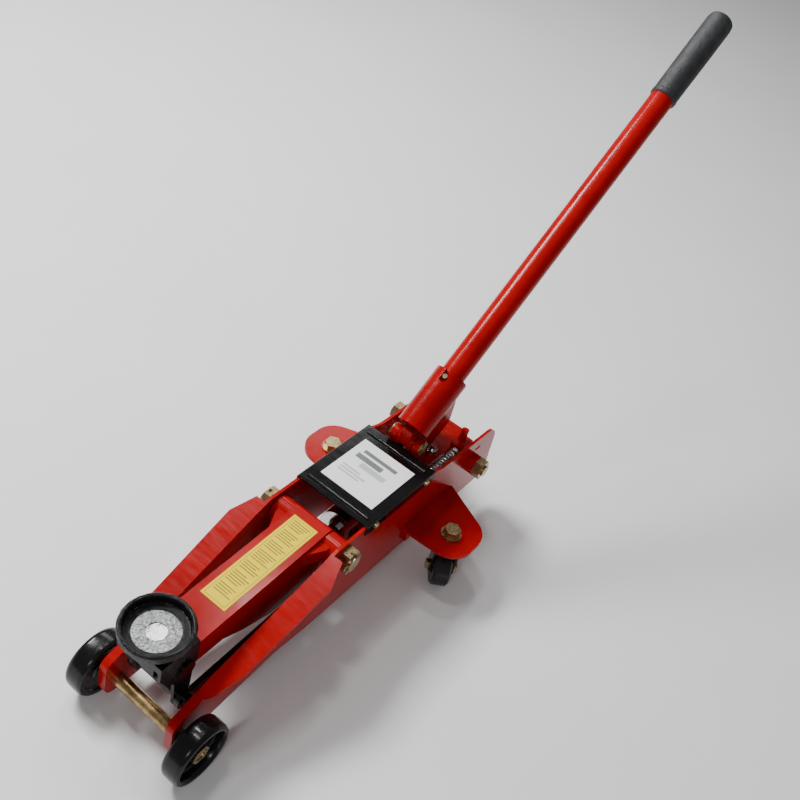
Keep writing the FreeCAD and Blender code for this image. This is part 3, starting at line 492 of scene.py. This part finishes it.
def helix(start, end, radius, turns, wire):
    """Points of a coil from start to end, with one close-wound turn at each end."""
    start, end = Vector(start), Vector(end)
    along = (end - start).normalized()
    across = along.orthogonal().normalized()
    other = along.cross(across)
    length = (end - start).length
    close = 2 * wire / length
    points = []
    for step in range(turns * POINTS_IN_A_TURN + 1):
        turned = step / POINTS_IN_A_TURN
        if turned < 1:
            share = close * turned
        elif turned > turns - 1:
            share = 1 - close * (turns - turned)
        else:
            share = close + (1 - 2 * close) * (turned - 1) / (turns - 2)
        sideways = around(across, other, 2 * math.pi * turned)
        points.append(start + along * length * share + sideways * radius)
    return points


# A print's underside lies this far inside its label and its top this far outside.
PRINT_SUNK = 0.02 * MM
PRINT_PROUD = 0.06 * MM


def printed(name, corners, material, body, place):
    """A thin flat print: an outline on the plane that place sets out."""
    built = bmesh.new()
    top = [built.verts.new(place @ Vector((x, y, PRINT_PROUD))) for x, y in corners]
    bottom = [built.verts.new(place @ Vector((x, y, -PRINT_SUNK))) for x, y in corners]
    built.faces.new(top)
    built.faces.new(list(reversed(bottom)))
    for step in range(len(corners)):
        after = (step + 1) % len(corners)
        built.faces.new((bottom[step], bottom[after], top[after], top[step]))
    bmesh.ops.recalc_face_normals(built, faces=built.faces)
    piece_from(name, built, material, body)


CORNER_STEPS = 5


def round_rect(x0, y0, x1, y1, radius):
    """Outline of a rectangle with rounded corners, counter-clockwise."""
    spots = []
    for cx, cy, start in ((x1 - radius, y1 - radius, 0), (x0 + radius, y1 - radius, 90),
                          (x0 + radius, y0 + radius, 180), (x1 - radius, y0 + radius, 270)):
        for step in range(CORNER_STEPS + 1):
            angle = math.radians(start + 90 * step / CORNER_STEPS)
            spots.append((cx + radius * math.cos(angle), cy + radius * math.sin(angle)))
    return spots


# Pieces that stand in for plain CAD shapes.

def build_front_wheels():
    """Cast wheels: crowned tread, rounded rim, deep dish and a raised hub."""
    bore = 6.3 * MM
    for side, sign in (("left", 1), ("right", -1)):
        node = "front_wheel_" + side
        size = span(node)
        radius = size.z / 2
        wide = size.y
        hub_face = wide - 9.9 * MM
        inner = middle(node) - Vector((0, sign * wide / 2, 0))
        back = [(bore, 0.4 * MM), (13 * MM, 0.0), (14 * MM, 2.2 * MM),
                (radius - 7.5 * MM, 2.4 * MM), (radius - 6 * MM, 0.0)]
        tread = [(radius - 1.6 * MM, 0.0), (radius - 0.1 * MM, 3.0 * MM), (radius, wide * 0.5),
                 (radius - 0.1 * MM, wide - 3.0 * MM), (radius - 1.8 * MM, wide)]
        dish = [(radius - 4.4 * MM, wide), (radius - 6.0 * MM, wide - 2.6 * MM),
                (radius - 7.0 * MM, wide - 9.0 * MM), (15.0 * MM, wide - 11.0 * MM)]
        hub = [(13.2 * MM, hub_face), (bore, hub_face)]
        profile = rounded(back + tread + dish + hub, radius=1.4 * MM)
        wheel = lathe(profile + [profile[0]], inner, (0, sign, 0), steps=128)
        piece_from("wheel_casting_" + side, wheel, WHEEL, BODY_OF[node], (node,))


def build_saddle():
    """The cast saddle: a lipped rim, rough above the foot, and in its cup the inner disc flecked with
    painted glints.
    """
    low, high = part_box("saddle")
    centre = middle("saddle")
    centre.z = 0
    base = low[2]
    top = high[2]
    radius = (high[0] - low[0]) / 2
    upright = (0, 0, 1)
    smooth_foot = base + 6 * MM
    roughness = 0.45 * MM
    lumps_in_a_metre = 260

    def cast_skin(angle, spot_radius, height):
        """Outward shift of a rough casting; the foot stays smooth."""
        if height <= smooth_foot:
            return 0.0
        place = Vector((math.cos(angle), math.sin(angle), 0)) * spot_radius + Vector((0, 0, height))
        return roughness * noise.noise(place * lumps_in_a_metre, noise_basis="PERLIN_ORIGINAL")

    bore = 8.3 * MM
    cup_floor = top - 9.4 * MM
    foot = [(bore, base), (13.5 * MM, base), (16 * MM, top - 15 * MM)]
    rim = [(radius - 3.0 * MM, top - 10.5 * MM), (radius - 0.8 * MM, top - 8.0 * MM),
           (radius - 0.3 * MM, top - 1.2 * MM), (radius - 1.4 * MM, top), (radius - 3.4 * MM, top),
           (radius - 4.4 * MM, top - 1.0 * MM), (radius - 5.0 * MM, top - 7.6 * MM)]
    cup = [(19.4 * MM, top - 8.2 * MM), (19.0 * MM, cup_floor), (bore, cup_floor)]
    profile = rounded(foot + rim + cup, radius=0.9 * MM)
    casting = lathe(profile + [profile[0]], centre, upright, steps=160, rough=cast_skin)
    piece_from("saddle_casting", casting, SADDLE_CHIPS_AND_GLINTS, BODY_OF["saddle"], ("saddle",))
    # The inner disc, black with painted glints of light.
    disc_bore = 8.2 * MM
    disc_foot = top - 9.6 * MM
    disc = [(disc_bore, disc_foot), (18.7 * MM, disc_foot), (18.9 * MM, top - 8.9 * MM),
            (disc_bore, top - 8.8 * MM)]
    glint_disc = lathe(disc + [disc[0]], centre, upright)
    piece_from("saddle_glint_disc", glint_disc, GLINT_DISC, BODY_OF["saddle"])


def build_springs():
    """The return spring and the plunger's spring as wound wire."""
    low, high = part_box("return_spring")
    centre = middle("return_spring")
    wire = 0.95 * MM
    radius = (high[1] - low[1]) / 2 - wire
    hook_length = 6 * MM
    hook_step = 0.8 * MM
    hook_points = range(5)
    start = Vector((low[0] + hook_length, centre.y, centre.z))
    end = Vector((high[0] - hook_length, centre.y, centre.z))
    hook_in = [Vector((low[0] + 0.6 * MM + hook_step * step, centre.y, centre.z + (step - 1) * 0.3 * MM))
               for step in hook_points]
    hook_out = [Vector((end.x + 1.5 * MM + hook_step * step, centre.y, centre.z))
                for step in hook_points]
    points = hook_in + helix(start, end, radius, turns=24, wire=wire) + hook_out
    coil = piece_from("return_spring_coil", tube_along(points, wire), SPRING, None,
                      ("return_spring",))
    fixed_end = (low[0] + 4 * MM, centre.y, centre.z)
    moving_end = (high[0] - 4 * MM, centre.y, centre.z)
    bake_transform(coil)
    low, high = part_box("plunger_spring")
    centre = middle("plunger_spring")
    wire = 0.9 * MM
    radius = (high[0] - low[0]) / 2 - wire
    fixed_end = (centre.x, centre.y, low[2] + wire)
    moving_end = (centre.x, centre.y, high[2] - wire)
    points = helix(fixed_end, moving_end, radius, turns=6, wire=wire)
    coil = piece_from("plunger_spring_coil", tube_along(points, wire), SPRING, None,
                      ("plunger_spring",))
    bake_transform(coil)


def build_grip():
    """The foam grip: a soft crowned sleeve with a collar and a domed end."""
    length = 112 * MM
    radius = 14.6 * MM
    bore = 12.75 * MM
    foot = middle("handle_grip") - HANDLE_ALONG * length / 2
    collar = [(bore, 0.0), (radius - 1.0 * MM, 0.0), (radius - 0.2 * MM, 1.4 * MM), (radius, 5 * MM)]
    sleeve = [(radius - 0.9 * MM, 6.2 * MM), (radius - 0.5 * MM, 9 * MM),
              (radius - 0.2 * MM, length * 0.5), (radius - 0.1 * MM, length - 7 * MM)]
    dome = [(radius - 1.1 * MM, length - 2.2 * MM), (radius - 4.0 * MM, length - 0.3 * MM),
            (0.0, length)]
    outside = rounded(collar + sleeve + dome, radius=1.6 * MM, steps=6)
    inside = [(0.0, length - 4 * MM), (bore, length - 4.2 * MM), (bore, 0.0)]
    grip = lathe(outside + inside, foot, HANDLE_ALONG)
    piece_from("grip_sleeve", grip, RUBBER, "handle", ("handle_grip",))


# Bars on the white label, as shares of its length and width: the place along it,
# where the bar begins and ends across it, half the bar's thickness, and its ink.
COVER_BARS = (
    (0.20, 0.16, 0.80, 0.035, GREY_INK), (0.33, 0.12, 0.62, 0.050, GREY_INK),
    (0.46, 0.30, 0.78, 0.050, PALE_INK), (0.62, 0.10, 0.44, 0.016, PALE_INK),
    (0.68, 0.10, 0.58, 0.016, PALE_INK), (0.74, 0.10, 0.50, 0.016, PALE_INK),
)


def build_cover_print():
    """Faint bars on the white label, in place of its printing."""
    low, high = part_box("cover_label")
    length = high[0] - low[0]
    width = high[1] - low[1]
    on_top = Matrix.Translation((low[0], low[1], high[2]))
    for index, (along, begin, end, half, ink) in enumerate(COVER_BARS):
        corners = round_rect(length * (along - half), width * begin,
                             length * (along + half), width * end, radius=0.5 * MM)
        printed("cover_print_%d" % index, corners, ink, "frame", on_top)


def arm_label_place():
    """Length of the yellow label, and the place of its rear edge's middle with X along the label."""
    low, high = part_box("arm_label")
    close = 0.5 * MM
    spots = [vertex.co for vertex in NODES["arm_label"].data.vertices]
    front = max(spot.z for spot in spots if spot.x > high[0] - close)
    rear = max(spot.z for spot in spots if spot.x < low[0] + close)
    along = Vector((high[0] - low[0], 0, front - rear))
    length = along.length
    along.normalize()
    across = Vector((0, 1, 0))
    normal = along.cross(across)
    turn = Matrix((along, across, normal)).transposed()
    return length, Matrix.Translation((low[0], 0, rear)) @ turn.to_4x4()


def build_arm_print():
    """A dark border and rows of plain bars on the yellow label, in place of its printing."""
    low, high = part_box("arm_label")
    length, place = arm_label_place()
    edge = 2.2 * MM
    line = 0.35 * MM
    side = (high[1] - low[1]) / 2 - edge
    end = length - edge
    bars = [(edge, -side, end, -side + line), (edge, side - line, end, side),
            (edge, -side, edge + line, side), (end - line, -side, end, side)]
    first_row = 2.6 * MM
    spare = 5 * MM
    row_step = 2.7 * MM
    row_thick = 0.9 * MM
    margin = 2.0 * MM
    indent_step = 1.7 * MM
    rows_in_group = 11
    blank_rows = (4, 10)
    for row in range(int((end - edge - spare) / row_step)):
        if row % rows_in_group in blank_rows:
            continue
        start = edge + first_row + row * row_step
        # The rows take four lengths in turn.
        indent = margin + indent_step * (row * 5 % 4)
        bars.append((start, -side + margin, start + row_thick, side - indent))
    for index, (x0, y0, x1, y1) in enumerate(bars):
        corners = [(x0, y0), (x1, y0), (x1, y1), (x0, y1)]
        printed("arm_print_%d" % index, corners, BROWN_INK, "arm", place)


# The floor, the light and the camera.

FLOOR_HALF = 3.0
WORLD_STRENGTH = 0.24
# Area lights: name, place, width, height and power in watts. All are aimed at LIT_SPOT.
LIGHTS = (
    ("key", (0.15, -1.4, 1.8), 0.8, 0.5, 60), ("front", (1.9, 0.5, 1.5), 0.5, 0.4, 8),
    ("back", (-1.5, -1.3, 1.6), 0.9, 0.5, 8), ("strip", (0.12, -0.56, 2.0), 0.12, 0.3, 5),
    ("glare", (-0.56, -0.66, 2.0), 0.14, 0.14, 4),
)
LIT_SPOT = Vector((0, 0, 0.08))


def build_floor():
    """A pale floor, faintly uneven in shade."""
    built = bmesh.new()
    signs = ((-1, -1), (1, -1), (1, 1), (-1, 1))
    built.faces.new([built.verts.new((x * FLOOR_HALF, y * FLOOR_HALF, 0)) for x, y in signs])
    mesh = bpy.data.meshes.new("floor")
    built.to_mesh(mesh)
    built.free()
    floor = bpy.data.objects.new("floor", mesh)
    bpy.context.scene.collection.objects.link(floor)
    pale = Shader("pale_floor")
    clouds = pale.ramp(pale.noise(scale=3), low=0.3, high=0.7)
    rough = pale.ramp(pale.noise(scale=20), low=0.3, high=0.7, dark=0.6, light=0.7)
    pale.paint(pale.blend(clouds, (0.86, 0.86, 0.86), (0.90, 0.90, 0.90)), rough)
    mesh.materials.append(pale.material)


def build_lights():
    """A dim white world and the area lights."""
    world = bpy.data.worlds.new("studio")
    world.use_nodes = True
    background = world.node_tree.nodes["Background"]
    background.inputs["Color"].default_value = (1, 1, 1, 1)
    background.inputs["Strength"].default_value = WORLD_STRENGTH
    bpy.context.scene.world = world
    for name, spot, width, height, power in LIGHTS:
        data = bpy.data.lights.new(name, "AREA")
        data.shape = "RECTANGLE"
        data.size = width
        data.size_y = height
        data.energy = power
        lamp = bpy.data.objects.new(name, data)
        lamp.location = spot
        lamp.rotation_euler = (LIT_SPOT - Vector(spot)).to_track_quat("-Z", "Y").to_euler()
        bpy.context.scene.collection.objects.link(lamp)


# The camera's place and aim in metres, from the point on the floor under the front axle; its roll
# in radians; its lens and sensor in millimetres; and how near it sees.
CAMERA_FROM_AXLE = Vector((0.3220, 0.2941, 0.7576))
AIM_FROM_AXLE = Vector((-0.5859, -0.1499, -0.0764))
CAMERA_ROLL = 0.30
CAMERA_LENS = 43.83
CAMERA_SENSOR = 36
CAMERA_NEAR = 0.01


def build_camera():
    """The camera looks down on the jack from its front left, rolled to the side."""
    shift = Vector((AXLE.x, 0, 0))
    spot = CAMERA_FROM_AXLE + shift
    forward = (AIM_FROM_AXLE + shift - spot).normalized()
    right = forward.cross(Vector((0, 0, 1))).normalized()
    up = right.cross(forward)
    rolled_right = right * math.cos(CAMERA_ROLL) + up * math.sin(CAMERA_ROLL)
    rolled_up = up * math.cos(CAMERA_ROLL) - right * math.sin(CAMERA_ROLL)
    data = bpy.data.cameras.new("camera")
    data.lens = CAMERA_LENS
    data.sensor_width = CAMERA_SENSOR
    data.clip_start = CAMERA_NEAR
    camera = bpy.data.objects.new("camera", data)
    turn = Matrix((rolled_right, rolled_up, -forward)).transposed()
    camera.matrix_world = Matrix.Translation(spot) @ turn.to_4x4()
    bpy.context.scene.collection.objects.link(camera)
    bpy.context.scene.camera = camera


finish_cad_nodes()
build_front_wheels()
build_saddle()
build_springs()
build_grip()
build_cover_print()
build_arm_print()
build_floor()
build_lights()
build_camera()
